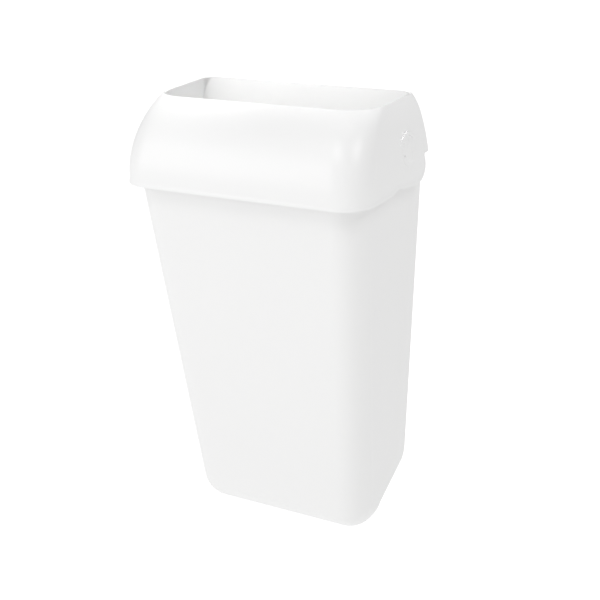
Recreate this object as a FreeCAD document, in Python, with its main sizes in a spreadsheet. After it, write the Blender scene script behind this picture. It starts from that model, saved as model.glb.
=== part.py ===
import FreeCAD, Part
import math
import os
import re

# Wall-hung waste bin: a tapered moulded body and an open hood that hides the bag.
# Everything is drawn with the bin's back at Y = 0 and +X to the right seen from the front; the
# body's lowest point is at foot_level. Each finished piece is then placed so that the origin is
# the middle of the wall bracket's screw pattern, on the wall.

DIMENSIONS = {
    # hood
    "hood_half_width": 165.0,
    "hood_depth": 190.0,
    "hood_back": 4.0,
    "hood_back_top": 9.0,
    "rim_height": 562.0,
    "belt_height": 468.7,
    "skirt_height": 462.4,
    "cusp_height": 467.0,
    "lobe_height": 459.5,
    "lobe_top": 490.5,
    "front_curve": 102.5,
    "side_curve": 264.5,
    "hood_corner": 38.0,
    "hood_rear_corner": 3.4,
    "hood_rim_corner": 13.0,
    "rim_corner_reach": 24.0,
    "hood_wall": 2.5,
    "rear_wall_height": 504.0,
    # body
    "body_half_foot": 121.4,
    "body_side_slope": 0.06876,
    "body_front_foot": 126.1,
    "body_front_slope": 0.11135,
    "body_rim": 488.0,
    "body_wall": 2.8,
    "body_corner": 34.0,
    "rear_corner": 8.0,
    "foot_level": 8.0,
    "front_bend": 40.0,
    "lowest_bend": 37.0,
    "back_bend": 30.0,
    "back_bend_height": 75.0,
    "lowest_depth": 66.0,
    "bead_height": 8.0,
    "bead_depth": 3.0,
    # hinge
    "pivot_depth": 60.0,
    "pivot_height": 503.0,
    "pin_radius": 4.0,
    "pin_inner_end": 146.5,
    "seat_face": 159.3,
    "boss_face": 157.0,
    "boss_radius": 22.0,
    "cap_radius": 18.0,
    "cap_relief": 0.7,
    "ear_inner": 151.0,
    "ear_thickness": 4.0,
    "ear_radius": 16.0,
    "bush_radius": 6.0,
    "bush_flange": 1.4,
    "hinge_clearance": 0.06,
    # wall bracket and hanger
    "stand_off": 6.0,
    "bracket_height": 420.0,
    "bracket_wide": 200.0,
    "bracket_tall": 44.0,
    "bracket_sheet": 2.5,
    "hook_spacing": 100.0,
    "hook_wide": 22.0,
    "hook_finger": 12.0,
    "screw_hole": 2.75,
    "screw_wide": 170.0,
    "screw_tall": 24.0,
    "hanger_sheet": 2.0,
    "slot_wide": 26.0,
    "slot_tall": 16.0,
    "rivet_radius": 2.0,
    # bag frame
    "wire_radius": 2.5,
    "wire_inset": 3.3,
    "wire_height": 478.0,
    # buffers and pads
    "buffer_radius": 4.5,
    "buffer_spacing": 120.0,
    "pad_radius": 11.0,
    "pad_spacing": 180.0,
    "pad_height": 150.0,
}

doc = FreeCAD.newDocument("wall_bin")
sheet = doc.addObject("Spreadsheet::Sheet", "Dimensions")
for row, (alias, value) in enumerate(DIMENSIONS.items(), start=1):
    sheet.set(f"A{row}", alias)
    sheet.set(f"B{row}", str(value))
    sheet.setAlias(f"B{row}", alias)
doc.recompute()


class Sizes:
    """The sheet's values, read by their aliases."""

    def __getattr__(self, alias):
        return float(sheet.get(alias))


size = Sizes()


def bound(expression):
    """Put the sheet's name before each alias in an expression."""
    return re.sub(r"[a-z_]+", lambda word: f"Dimensions.{word[0]}", expression)


def bind(item, **expressions):
    """Bind an object's properties to the sheet."""
    for name, expression in expressions.items():
        item.setExpression(name.replace("__", "."), bound(expression))


def box(name, x0, y0, z0, length, width, height):
    """A box from its lowest corner and its three sizes, all given as expressions."""
    item = doc.addObject("Part::Box", name)
    bind(item, Length=length, Width=width, Height=height)
    bind(item, Placement__Base__x=x0, Placement__Base__y=y0, Placement__Base__z=z0)
    return item


TURNS = {
    "X": FreeCAD.Rotation(FreeCAD.Vector(0, 1, 0), 90),
    "Y": FreeCAD.Rotation(FreeCAD.Vector(1, 0, 0), -90),
    "Z": FreeCAD.Rotation(),
}


def rod(name, radius, length, x0, y0, z0, axis="X"):
    """A cylinder from the middle of its first face, along one of the axes."""
    item = doc.addObject("Part::Cylinder", name)
    item.Placement = FreeCAD.Placement(FreeCAD.Vector(), TURNS[axis])
    bind(item, Radius=radius, Height=length)
    bind(item, Placement__Base__x=x0, Placement__Base__y=y0, Placement__Base__z=z0)
    return item


def fused(name, items):
    """One solid from several that touch."""
    item = doc.addObject("Part::MultiFuse", name)
    item.Shapes = items
    item.Refine = True
    return item


def cut(name, base, tools):
    """A solid with one or more others taken out of it."""
    tool = tools[0] if len(tools) == 1 else fused(name + "_tools", tools)
    item = doc.addObject("Part::Cut", name)
    item.Base = base
    item.Tool = tool
    return item


def common(name, first, second):
    """What two solids share."""
    item = doc.addObject("Part::Common", name)
    item.Base = first
    item.Tool = second
    return item


def mirrored(name, source):
    """The other side's copy of a solid."""
    item = doc.addObject("Part::Mirroring", name)
    item.Source = source
    item.Normal = FreeCAD.Vector(1, 0, 0)
    return item


def both_sides(name, source):
    """A solid and its mirror image as one object."""
    item = doc.addObject("Part::Compound", name)
    item.Links = [source, mirrored(name + "_mirror", source)]
    return item


def rounded(points):
    """Lines and tangent arcs through corner points given as (u, v, radius)."""
    corners = []
    for index, (u, v, radius) in enumerate(points):
        here = FreeCAD.Vector(u, v, 0)
        before = FreeCAD.Vector(*points[index - 1][:2], 0) - here
        after = FreeCAD.Vector(*points[(index + 1) % len(points)][:2], 0) - here
        before.normalize()
        after.normalize()
        half = before.getAngle(after) / 2
        reach = radius / math.tan(half)
        middle = (before + after).normalize() if radius else before
        centre = here + middle * (radius / math.sin(half))
        corners.append((here + before * reach, centre - middle * radius, here + after * reach, radius))
    edges = []
    for index, (start, middle, end, radius) in enumerate(corners):
        if radius:
            edges.append(Part.Arc(start, middle, end))
        following = corners[(index + 1) % len(corners)][0]
        if (following - end).Length > 1e-6:
            edges.append(Part.LineSegment(end, following))
    return edges


def sketch(body, name, plane, edges):
    """A sketch on one of a body's own origin planes."""
    item = body.newObject("Sketcher::SketchObject", name)
    item.AttachmentSupport = [next(f for f in body.Origin.OriginFeatures if f.Role == plane)]
    item.MapMode = "FlatFace"
    item.addGeometry(edges, False)
    return item


def pad(body, name, profile, length):
    """A pad to both sides of its sketch."""
    item = body.newObject("PartDesign::Pad", name)
    item.Profile = profile
    item.SideType = "Symmetric"
    bind(item, Length=length)
    return item


def pocket(body, name, profile):
    """A pocket through everything, to both sides of its sketch."""
    item = body.newObject("PartDesign::Pocket", name)
    item.Profile = profile
    item.SideType = "Symmetric"
    item.Type = "ThroughAll"
    return item


def inset(points, distance, top_distance):
    """Corner points of a polygon whose sides have moved inwards; the last side is the open top."""
    moved = []
    count = len(points)
    sides = []
    for index in range(count):
        start = FreeCAD.Vector(*points[index][:2], 0)
        along = FreeCAD.Vector(*points[(index + 1) % count][:2], 0) - start
        along.normalize()
        shift = top_distance if index == count - 1 else distance
        sides.append((start + FreeCAD.Vector(-along.y, along.x, 0) * shift, along))
    for index in range(count):
        (first, a), (second, b) = sides[index - 1], sides[index]
        gap = second - first
        reach = (gap.x * b.y - gap.y * b.x) / (a.x * b.y - a.y * b.x)
        corner = first + a * reach
        radius = points[index][2]
        moved.append((corner.x, corner.y, radius and radius - distance))
    return moved


def body_form(name, distance=0.0, extra=0.0):
    """The bin body's solid outer shape, or the same shape moved inwards by a distance."""
    front = size.body_front_foot + size.body_front_slope * size.body_rim
    front_low = size.body_front_foot + size.body_front_slope * size.foot_level
    outline = [
        (-front, size.body_rim, 0),
        (-front_low, size.foot_level, size.front_bend),
        (-size.lowest_depth, size.foot_level, size.lowest_bend),
        (0, size.back_bend_height, size.back_bend),
        (0, size.body_rim, 0),
    ]
    form = doc.addObject("PartDesign::Body", name)
    profile = sketch(form, name + "_profile", "YZ_Plane", rounded(inset(outline, distance, -extra)))
    pad(form, name + "_pad", profile, "hood_half_width * 3")
    edges = []
    for side in (-1, 1):
        lean = math.hypot(1, size.body_side_slope)
        low, high = -30.0, size.body_rim + 30.0
        foot = size.body_half_foot - distance * lean + size.body_side_slope * low
        rim = size.body_half_foot - distance * lean + size.body_side_slope * high
        far = size.hood_half_width * 2
        inner_line = [(side * foot, low, 0), (side * rim, high, 0)]
        edges += rounded(inner_line + [(side * far, high, 0), (side * far, low, 0)])
    pocket(form, name + "_sides", sketch(form, name + "_taper", "XZ_Plane", edges))
    doc.recompute()
    radii = []
    for number, edge in enumerate(form.Shape.Edges, start=1):
        middle = edge.valueAt((edge.FirstParameter + edge.LastParameter) / 2)
        half = size.body_half_foot + size.body_side_slope * middle.z
        if abs(abs(middle.x) - half) > abs(distance) + 3 or edge.BoundBox.YLength > 120:
            continue
        if edge.BoundBox.ZMin > size.body_rim - 20:
            continue
        radii.append((number, *[corner_radius(vertex.Point) - distance for vertex in edge.Vertexes]))
    blend = doc.addObject("Part::Fillet", name + "_corners")
    blend.Base = form
    blend.Edges = radii
    return blend


def corner_radius(point):
    """How round the body's side edge is at a point: wide in front and below, tighter behind."""
    if point.y < -size.body_front_foot or point.z < size.back_bend_height / 2:
        return size.body_corner
    return size.rear_corner


def arc_reach(radius, height):
    """How far out an arc stands at a height: its whole radius up to the belt, less above it."""
    rise = max(height - size.belt_height, 0)
    return math.sqrt(radius**2 - rise**2)


def rear_corner_at(height):
    """The hood's rear corners: tight at the lobes, opening out over the last stretch to the rim."""
    part = max(height - size.rim_height + size.rim_corner_reach, 0) / size.rim_corner_reach
    return size.hood_rear_corner + (size.hood_rim_corner - size.hood_rear_corner) * part**2


def hood_section(form, name, height, distance):
    """The hood's plan outline at a height, moved inwards by a distance."""
    side = size.hood_half_width - size.side_curve + arc_reach(size.side_curve - distance, height)
    front = size.hood_depth - size.front_curve + arc_reach(size.front_curve - distance, height)
    rise = (height - size.skirt_height) / (size.rim_height - size.skirt_height)
    back = size.hood_back + (size.hood_back_top - size.hood_back) * rise + distance
    corners = [
        (-side, -front, size.hood_corner - distance),
        (side, -front, size.hood_corner - distance),
        (side, -back, rear_corner_at(height) - distance),
        (-side, -back, rear_corner_at(height) - distance),
    ]
    item = sketch(form, name, "XY_Plane", rounded(corners))
    item.AttachmentOffset = FreeCAD.Placement(FreeCAD.Vector(0, 0, height), FreeCAD.Rotation())
    return item


def hood_form(name, distance=0.0, extra=0.0):
    """The hood's solid outer shape, or the same shape moved inwards by a distance."""
    low = size.skirt_height - 6 - extra
    high = size.rim_height + extra
    straight = [low, (low + size.belt_height) / 2, size.belt_height]
    curved = [size.belt_height + (high - size.belt_height) * part / 7 for part in range(1, 8)]
    form = doc.addObject("PartDesign::Body", name)
    sections = [
        hood_section(form, f"{name}_{number}", height, distance)
        for number, height in enumerate(straight + curved, start=1)
    ]
    loft = form.newObject("PartDesign::AdditiveLoft", name + "_loft")
    loft.Profile = sections[0]
    loft.Sections = sections[1:]
    return form


def tool_pad(name, edges, length, plane="YZ_Plane"):
    """A padded profile used to shape another solid."""
    form = doc.addObject("PartDesign::Body", name)
    pad(form, name + "_pad", sketch(form, name + "_profile", plane, edges), length)
    return form


# Wall bracket: a flat plate with four screw holes and two upturned hooks.
PLATE_CORNER = 6.0
bracket_plate = doc.addObject("PartDesign::Body", "bracket_plate")
half_wide = size.bracket_wide / 2
low = size.bracket_height - size.bracket_tall / 2
high = size.bracket_height + size.bracket_tall / 2
corners = [(-half_wide, low), (half_wide, low), (half_wide, high), (-half_wide, high)]
plate_edges = rounded([(u, v, PLATE_CORNER) for u, v in corners])
for side in (-1, 1):
    for level in (-1, 1):
        middle = FreeCAD.Vector(
            side * size.screw_wide / 2, size.bracket_height + level * size.screw_tall / 2, 0
        )
        plate_edges.append(Part.Circle(middle, FreeCAD.Vector(0, 0, 1), size.screw_hole))
plate_sketch = sketch(bracket_plate, "plate_outline", "XZ_Plane", plate_edges)
plate_pad = pad(bracket_plate, "plate_pad", plate_sketch, "bracket_sheet")
bind(bracket_plate, Placement__Base__y="stand_off - bracket_sheet / 2")

HOOK_GAP = 0.4
hook_end = -(size.body_wall + size.hanger_sheet + HOOK_GAP + size.bracket_sheet)
tab_low = size.bracket_height - 2.0
tab_high = tab_low + size.bracket_sheet
finger_top = tab_high + size.hook_finger
hook_outline = [
    (size.stand_off - size.bracket_sheet / 2, tab_low, 0),
    (size.stand_off - size.bracket_sheet / 2, tab_high, 0),
    (hook_end + size.bracket_sheet, tab_high, 0.5),
    (hook_end + size.bracket_sheet, finger_top, 1.0),
    (hook_end, finger_top, 1.0),
    (hook_end, tab_low, 2.8),
]
hook = tool_pad("hook", rounded(hook_outline), "hook_wide")
bind(hook, Placement__Base__x="hook_spacing / 2")
wall_bracket = fused("wall_bracket", [bracket_plate, both_sides("hooks", hook)])

# Bin body: a shell with a bead round its rim and an ear each side for the hood's hinge.
body_outer = body_form("body_outer")
bead_form = body_form("bead_form", -size.bead_depth)
bead_band = box(
    "bead_band", "-hood_half_width * 1.2", "-hood_depth * 1.2", "body_rim - bead_height",
    "hood_half_width * 2.4", "hood_depth * 1.2 - pivot_depth - boss_radius - 6", "bead_height",
)
bead = common("bead", bead_form, bead_band)
body_solid = fused("body_solid", [body_outer, bead])
body_inner = body_form("body_inner", size.body_wall, 12.0)
body_shell = cut("body_shell", body_solid, [body_inner])

ear_round = rod("ear_round", "ear_radius", "ear_thickness", "ear_inner", "-pivot_depth", "pivot_height")
ear_foot = box(
    "ear_foot", "ear_inner", "-pivot_depth - ear_radius", "pivot_height - 33",
    "ear_thickness", "ear_radius * 2", "33",
)
ear = fused("ear", [ear_round, ear_foot])
bush_seat = rod(
    "bush_seat", "bush_radius", "ear_thickness * 3", "ear_inner - 4", "-pivot_depth", "pivot_height"
)
hanger_slot = box(
    "hanger_slot", "(hook_spacing - slot_wide) / 2", "-body_wall * 3", "bracket_height + 0.8 - slot_tall",
    "slot_wide", "body_wall * 6", "slot_tall",
)
rivet_holes = []
RIVETS = ((80.0, -24.0), (80.0, 18.0))
for number, (rivet_x, rivet_z) in enumerate(RIVETS, start=1):
    rivet_holes.append(
        rod(
            f"rivet_hole_{number}", "rivet_radius + 0.05", "body_wall * 6", str(rivet_x), "-body_wall * 3",
            f"bracket_height + {rivet_z}", "Y",
        )
    )
back_cuts = both_sides("back_cuts", fused("back_cut", [hanger_slot] + rivet_holes))
body_solid_with_ears = fused("body_with_ears", [body_shell, both_sides("ears", ear)])
bin_body = cut("bin_body", body_solid_with_ears, [both_sides("bush_seats", bush_seat), back_cuts])

# Hanger plate: it stiffens the back wall where the hooks carry the bin.
hanger_sheet = box(
    "hanger_sheet_form", "-95", "-body_wall - hanger_sheet", "bracket_height - 32",
    "190", "hanger_sheet", "58",
)
hanger_plate = cut("hanger_plate", hanger_sheet, [back_cuts])
rivets = []
for number, (rivet_x, rivet_z) in enumerate(RIVETS, start=1):
    middle = (str(rivet_x), f"bracket_height + {rivet_z}")
    shank = rod(
        f"shank_{number}", "rivet_radius", "body_wall + hanger_sheet", middle[0], "-body_wall - hanger_sheet",
        middle[1], "Y",
    )
    outer_head = rod(f"outer_head_{number}", "rivet_radius * 2", "1.2", middle[0], "0", middle[1], "Y")
    inner_head = rod(
        f"inner_head_{number}", "rivet_radius * 2", "1.2", middle[0], "-body_wall - hanger_sheet - 1.2",
        middle[1], "Y",
    )
    rivets.append(fused(f"rivet_{number}", [shank, outer_head, inner_head]))
rivet_pair = doc.addObject("Part::Compound", "rivet_pair")
rivet_pair.Links = rivets
hanger_rivets = both_sides("hanger_rivets", rivet_pair)

# Pads that keep the bin upright against the wall.
pad_disc = rod("pad_disc", "pad_radius", "stand_off - 0.2", "pad_spacing / 2", "0", "pad_height", "Y")
wall_pads = both_sides("wall_pads", pad_disc)

# Bag frame: a closed wire held inside the rim by four saddles.
frame_half = (
    size.body_half_foot + size.body_side_slope * size.wire_height - size.body_wall - size.wire_inset
)
frame_reach = size.body_front_foot + size.body_front_slope * size.wire_height
frame_front = -frame_reach + size.body_wall + size.wire_inset
frame_back = -size.body_wall - size.wire_inset
WIRE_FRONT_BEND = 27.0
WIRE_BACK_BEND = 9.0
wire_path = rounded(
    [
        (frame_half, frame_front, WIRE_FRONT_BEND),
        (frame_half, frame_back, WIRE_BACK_BEND),
        (-frame_half, frame_back, WIRE_BACK_BEND),
        (-frame_half, frame_front, WIRE_FRONT_BEND),
    ]
)
bag_frame = doc.addObject("PartDesign::Body", "bag_frame")
path_sketch = sketch(bag_frame, "wire_path", "XY_Plane", wire_path)
path_sketch.AttachmentOffset = FreeCAD.Placement(FreeCAD.Vector(0, 0, size.wire_height), FreeCAD.Rotation())
wire_middle = FreeCAD.Vector(frame_front, size.wire_height, 0)
wire_circle = Part.Circle(wire_middle, FreeCAD.Vector(0, 0, 1), size.wire_radius)
wire_sketch = sketch(bag_frame, "wire_section", "YZ_Plane", [wire_circle])
doc.recompute()
wire = bag_frame.newObject("PartDesign::AdditivePipe", "wire")
wire.Profile = wire_sketch
wire.Spine = (path_sketch, [f"Edge{number}" for number in range(1, len(wire_path) + 1)])

SADDLE_LOW = size.wire_height - 5
SADDLE_HIGH = size.wire_height + 5
SADDLE_FIT = 0.02


def front_wall(height):
    """How far forward the body's inner face is at a height."""
    return -(size.body_front_foot + size.body_front_slope * height) + size.body_wall + SADDLE_FIT


def saddle(name, outline, wire_y):
    """A block with a hole for the wire, to the right of the middle."""
    hole = Part.Circle(
        FreeCAD.Vector(wire_y, size.wire_height, 0), FreeCAD.Vector(0, 0, 1), size.wire_radius + SADDLE_FIT
    )
    item = tool_pad(name, rounded(outline) + [hole], "14")
    bind(item, Placement__Base__x="75")
    return item


front_outline = [
    (front_wall(SADDLE_LOW), SADDLE_LOW, 0),
    (frame_front + 4.7, SADDLE_LOW, 1.5),
    (frame_front + 4.7, SADDLE_HIGH, 1.5),
    (front_wall(SADDLE_HIGH), SADDLE_HIGH, 0),
]
back_outline = [
    (frame_back - 4.7, SADDLE_LOW, 1.5),
    (-size.body_wall, SADDLE_LOW, 0),
    (-size.body_wall, SADDLE_HIGH, 0),
    (frame_back - 4.7, SADDLE_HIGH, 1.5),
]
saddles = doc.addObject("Part::Compound", "saddles")
saddles.Links = [
    saddle("front_saddle", front_outline, frame_front),
    saddle("back_saddle", back_outline, frame_back),
]
bag_frame_clips = both_sides("bag_frame_clips", saddles)

# Hinge: a flanged bush in each ear, and a pin through the hood with a ring on its inner end.
flange = rod(
    "flange", "bush_radius + 4", "bush_flange", "ear_inner + ear_thickness", "-pivot_depth", "pivot_height"
)
barrel = rod("barrel", "bush_radius", "ear_thickness", "ear_inner", "-pivot_depth", "pivot_height")
bush_bore = rod(
    "bush_bore", "pin_radius + hinge_clearance", "ear_thickness * 3", "ear_inner - 4",
    "-pivot_depth", "pivot_height",
)
bush_right = cut("hinge_bush_right", fused("bush_blank", [flange, barrel]), [bush_bore])
bush_left = mirrored("hinge_bush_left", bush_right)

CLIP_INNER = 149.6
CLIP_THICKNESS = 1.0
NECK_RADIUS = 3.2
shaft = rod(
    "shaft", "pin_radius", "seat_face - pin_inner_end", "pin_inner_end", "-pivot_depth", "pivot_height"
)
pin_head = rod("pin_head", "pin_radius + 2.5", "1.2", "seat_face", "-pivot_depth", "pivot_height")
groove_outer = rod(
    "groove_outer", "pin_radius + 1", f"{CLIP_THICKNESS + 0.1}", f"{CLIP_INNER - 0.05}",
    "-pivot_depth", "pivot_height",
)
groove_neck = rod(
    "groove_neck", f"{NECK_RADIUS}", f"{CLIP_THICKNESS + 0.1}", f"{CLIP_INNER - 0.05}",
    "-pivot_depth", "pivot_height",
)
groove = cut("groove", groove_outer, [groove_neck])
pin_right = cut("hinge_pin_right", fused("pin_blank", [shaft, pin_head]), [groove])
pin_left = mirrored("hinge_pin_left", pin_right)

clip_disc = rod(
    "clip_disc", "pin_radius + 3", f"{CLIP_THICKNESS}", f"{CLIP_INNER}", "-pivot_depth", "pivot_height"
)
clip_hole = rod("clip_hole", f"{NECK_RADIUS}", "6", f"{CLIP_INNER - 2}", "-pivot_depth", "pivot_height")
clip_slot = box(
    "clip_slot", f"{CLIP_INNER - 2}", f"-pivot_depth - {NECK_RADIUS - 0.4}", "pivot_height", "6",
    f"{2 * (NECK_RADIUS - 0.4)}", "12",
)
clip_right = cut("pin_clip_right", clip_disc, [clip_hole, clip_slot])
clip_left = mirrored("pin_clip_left", clip_right)

# Hood: an open shell with a round seat for each hinge cap and two ribs that rest on the body's rim.
hood_outer = hood_form("hood_outer")
hood_inner = hood_form("hood_inner", size.hood_wall, 2.0)
hood_shell = cut("hood_shell", hood_outer, [hood_inner])
boss = common(
    "boss", rod("boss_disc", "boss_radius", "20", "boss_face", "-pivot_depth", "pivot_height"), hood_outer
)
rib_form = box(
    "rib_form", "buffer_spacing / 2 - 4", "-hood_depth + 2.5", "body_rim + 4", "8", "15.5", "8"
)
rib = common("rib", rib_form, hood_outer)
cap_seat = rod("cap_seat", "cap_radius + 0.2", "20", "seat_face", "-pivot_depth", "pivot_height")
pin_hole = rod("pin_hole", "pin_radius + 0.02", "20", "boss_face - 5", "-pivot_depth", "pivot_height")

EDGE_LOW = size.skirt_height - 20
skirt_outline = [
    (-size.hood_depth - 20, EDGE_LOW, 0),
    (30, EDGE_LOW, 0),
    (30, size.lobe_top, 0),
    (-19, size.lobe_top, 3),
    (-19, size.lobe_height, 21),
    (-68, size.lobe_height + 0.5, 60),
    (-94, size.cusp_height, 1.5),
    (-112, size.skirt_height, 20),
    (-size.hood_depth - 20, size.skirt_height, 0),
]
skirt_cut = tool_pad("skirt_cut", rounded(skirt_outline), "hood_half_width * 3")
rear_gap = box("rear_gap", "-159.2", "-30", f"{EDGE_LOW}", "318.4", "60", f"rear_wall_height - {EDGE_LOW}")
hood_solid = fused("hood_solid", [hood_shell, both_sides("bosses", boss), both_sides("ribs", rib)])
hood = cut(
    "hood", hood_solid,
    [both_sides("cap_seats", cap_seat), both_sides("pin_holes", pin_hole), skirt_cut, rear_gap],
)

# Hinge caps: they follow the hood's bulge, a little proud of it, with a small release hole.
cap_form = hood_form("cap_form", -size.cap_relief)
cap_disc = rod("cap_disc", "cap_radius", "20", "seat_face", "-pivot_depth", "pivot_height")
head_room = rod("head_room", "pin_radius + 2.8", "1.4", "seat_face", "-pivot_depth", "pivot_height")
release_hole = rod("release_hole", "1.5", "30", "seat_face - 5", "-pivot_depth - 12.5", "pivot_height - 3.5")
cap_right = cut("hinge_cap_right", common("cap_blank", cap_disc, cap_form), [head_room, release_hole])
cap_left = mirrored("hinge_cap_left", cap_right)

# Buffers: the hood's ribs rest on the body's rim through them.
buffer_disc = rod("buffer_disc", "buffer_radius", "3.7", "buffer_spacing / 2", "-178", "body_rim + 0.3", "Z")
hood_buffers = both_sides("hood_buffers", buffer_disc)



def hung(label, source):
    """A finished piece where it hangs, under the label that names its file."""
    source.Label = label + "_form"
    item = doc.addObject("Part::Compound", label + "_piece")
    item.Label = label
    item.Links = [source]
    bind(item, Placement__Base__y="-stand_off", Placement__Base__z="-bracket_height")
    return item


FORMS = {
    "wall_bracket": wall_bracket,
    "bin_body": bin_body,
    "hanger_plate": hanger_plate,
    "hanger_rivets": hanger_rivets,
    "wall_pads": wall_pads,
    "bag_frame": bag_frame,
    "bag_frame_clips": bag_frame_clips,
    "hinge_bush_left": bush_left,
    "hinge_bush_right": bush_right,
    "hood": hood,
    "hinge_pin_left": pin_left,
    "hinge_pin_right": pin_right,
    "pin_clip_left": clip_left,
    "pin_clip_right": clip_right,
    "hinge_cap_left": cap_left,
    "hinge_cap_right": cap_right,
    "hood_buffers": hood_buffers,
}

pieces = [hung(label, source) for label, source in FORMS.items()]

doc.recompute()
faults = [item.Name for item in doc.Objects if {"Invalid", "Error"} & set(item.State)]
faults += [piece.Label for piece in pieces if piece.Shape.isNull() or not piece.Shape.isValid()]
faults += [piece.Label for piece in pieces if not piece.Shape.Solids or piece.Label not in FORMS]
if faults:
    raise RuntimeError(f"not built: {faults}")

os.makedirs("parts", exist_ok=True)
for piece in pieces:
    piece.Shape.exportStep(f"parts/{piece.Label}.step")
    extent = piece.Shape.optimalBoundingBox()
    volume = piece.Shape.Volume / 1000
    print(f"{piece.Label:18s} solids {len(piece.Shape.Solids)} volume {volume:9.2f} cm3 {extent}")
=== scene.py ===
"""Wall-hung waste bin with an open hood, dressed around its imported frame."""

import logging
import math
from dataclasses import dataclass, field
from enum import Enum
from typing import Callable

import bpy
from mathutils import Matrix, Vector


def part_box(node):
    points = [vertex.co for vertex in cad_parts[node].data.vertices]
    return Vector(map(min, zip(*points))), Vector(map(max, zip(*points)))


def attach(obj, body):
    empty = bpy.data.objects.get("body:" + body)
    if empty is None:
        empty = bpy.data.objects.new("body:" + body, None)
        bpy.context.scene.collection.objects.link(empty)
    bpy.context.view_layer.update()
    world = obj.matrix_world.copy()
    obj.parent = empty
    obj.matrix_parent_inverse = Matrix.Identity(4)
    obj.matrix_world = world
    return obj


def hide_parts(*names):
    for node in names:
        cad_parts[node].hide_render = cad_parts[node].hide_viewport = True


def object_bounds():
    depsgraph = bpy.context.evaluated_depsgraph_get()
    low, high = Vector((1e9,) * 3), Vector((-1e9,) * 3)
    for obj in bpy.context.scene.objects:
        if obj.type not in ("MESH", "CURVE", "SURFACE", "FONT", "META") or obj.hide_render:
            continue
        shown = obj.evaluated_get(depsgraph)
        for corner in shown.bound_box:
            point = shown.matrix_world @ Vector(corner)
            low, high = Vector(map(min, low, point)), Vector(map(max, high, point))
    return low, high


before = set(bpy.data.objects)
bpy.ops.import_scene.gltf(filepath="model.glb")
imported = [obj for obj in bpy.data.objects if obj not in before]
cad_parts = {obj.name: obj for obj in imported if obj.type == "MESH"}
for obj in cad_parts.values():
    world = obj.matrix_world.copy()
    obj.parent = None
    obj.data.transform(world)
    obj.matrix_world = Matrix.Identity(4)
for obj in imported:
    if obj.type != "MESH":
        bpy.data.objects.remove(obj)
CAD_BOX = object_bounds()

log = logging.getLogger("waste_bin")

MM = 0.001
Plan = tuple[float, float]
Point = tuple[float, float, float]


# ---------------------------------------------------------------- workshop


def deselect() -> None:
    """Leave nothing selected, in object mode."""
    if bpy.context.object and bpy.context.object.mode != "OBJECT":
        bpy.ops.object.mode_set(mode="OBJECT")
    bpy.ops.object.select_all(action="DESELECT")


def pick(piece: bpy.types.Object) -> None:
    """Make one object the only selected and active one.

    Args:
        piece: The object to work on.
    """
    deselect()
    piece.select_set(True)
    bpy.context.view_layer.objects.active = piece


def settle(piece: bpy.types.Object) -> None:
    """Put a piece's place, turn and size into its mesh.

    Args:
        piece: The object whose transform is applied.
    """
    pick(piece)
    bpy.ops.object.transform_apply(location=True, rotation=True, scale=True)


def finish_modifier(piece: bpy.types.Object, kind: str, **settings: object) -> None:
    """Add a modifier, set it up and apply it.

    Args:
        piece: The object that gets the modifier.
        kind: Blender's name of the modifier type.
        **settings: Values for the modifier's properties.
    """
    pick(piece)
    modifier = piece.modifiers.new(kind.lower(), kind)
    for name, value in settings.items():
        setattr(modifier, name, value)
    bpy.ops.object.modifier_apply(modifier=modifier.name)


def boolean(piece: bpy.types.Object, tool: bpy.types.Object, operation: str) -> None:
    """Join or cut a piece with a tool, and throw the tool away.

    Args:
        piece: The object that stays.
        tool: The object that shapes it.
        operation: UNION or DIFFERENCE.
    """
    finish_modifier(piece, "BOOLEAN", object=tool, operation=operation, solver="EXACT")
    bpy.data.objects.remove(tool, do_unlink=True)


def smooth(piece: bpy.types.Object, angle: float = 40.0) -> None:
    """Shade a piece smooth up to an angle, with its flat faces kept flat.

    Args:
        piece: The object to shade.
        angle: The sharpest edge, in degrees, that is still shaded smooth.
    """
    pick(piece)
    bpy.ops.object.shade_smooth_by_angle(angle=math.radians(angle))
    finish_modifier(piece, "WEIGHTED_NORMAL", mode="FACE_AREA_WITH_ANGLE", weight=60, keep_sharp=True)


def drum(name: str, radius: float, middle: Point, length: float, axis: str = "X", sides: int = 64) -> bpy.types.Object:
    """Add a cylinder about a middle point, its place applied.

    Args:
        name: The object's name.
        radius: Radius in metres.
        middle: Its middle point.
        length: Its length along the axis.
        axis: X, Y or Z.
        sides: How many sides it has.

    Returns:
        The new object.
    """
    turn = {"X": (0, math.pi / 2, 0), "Y": (math.pi / 2, 0, 0), "Z": (0, 0, 0)}[axis]
    deselect()
    bpy.ops.mesh.primitive_cylinder_add(vertices=sides, radius=radius, depth=length, location=middle, rotation=turn)
    piece = bpy.context.object
    piece.name = name
    settle(piece)
    return piece


def block(name: str, low: Point, high: Point) -> bpy.types.Object:
    """Add a box from its lowest and highest corners, its place applied.

    Args:
        name: The object's name.
        low: Lowest corner in metres.
        high: Highest corner in metres.

    Returns:
        The new object.
    """
    deselect()
    middle = [(a + b) / 2 for a, b in zip(low, high)]
    bpy.ops.mesh.primitive_cube_add(size=1, location=middle, scale=[b - a for a, b in zip(low, high)])
    piece = bpy.context.object
    piece.name = name
    settle(piece)
    return piece


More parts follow.
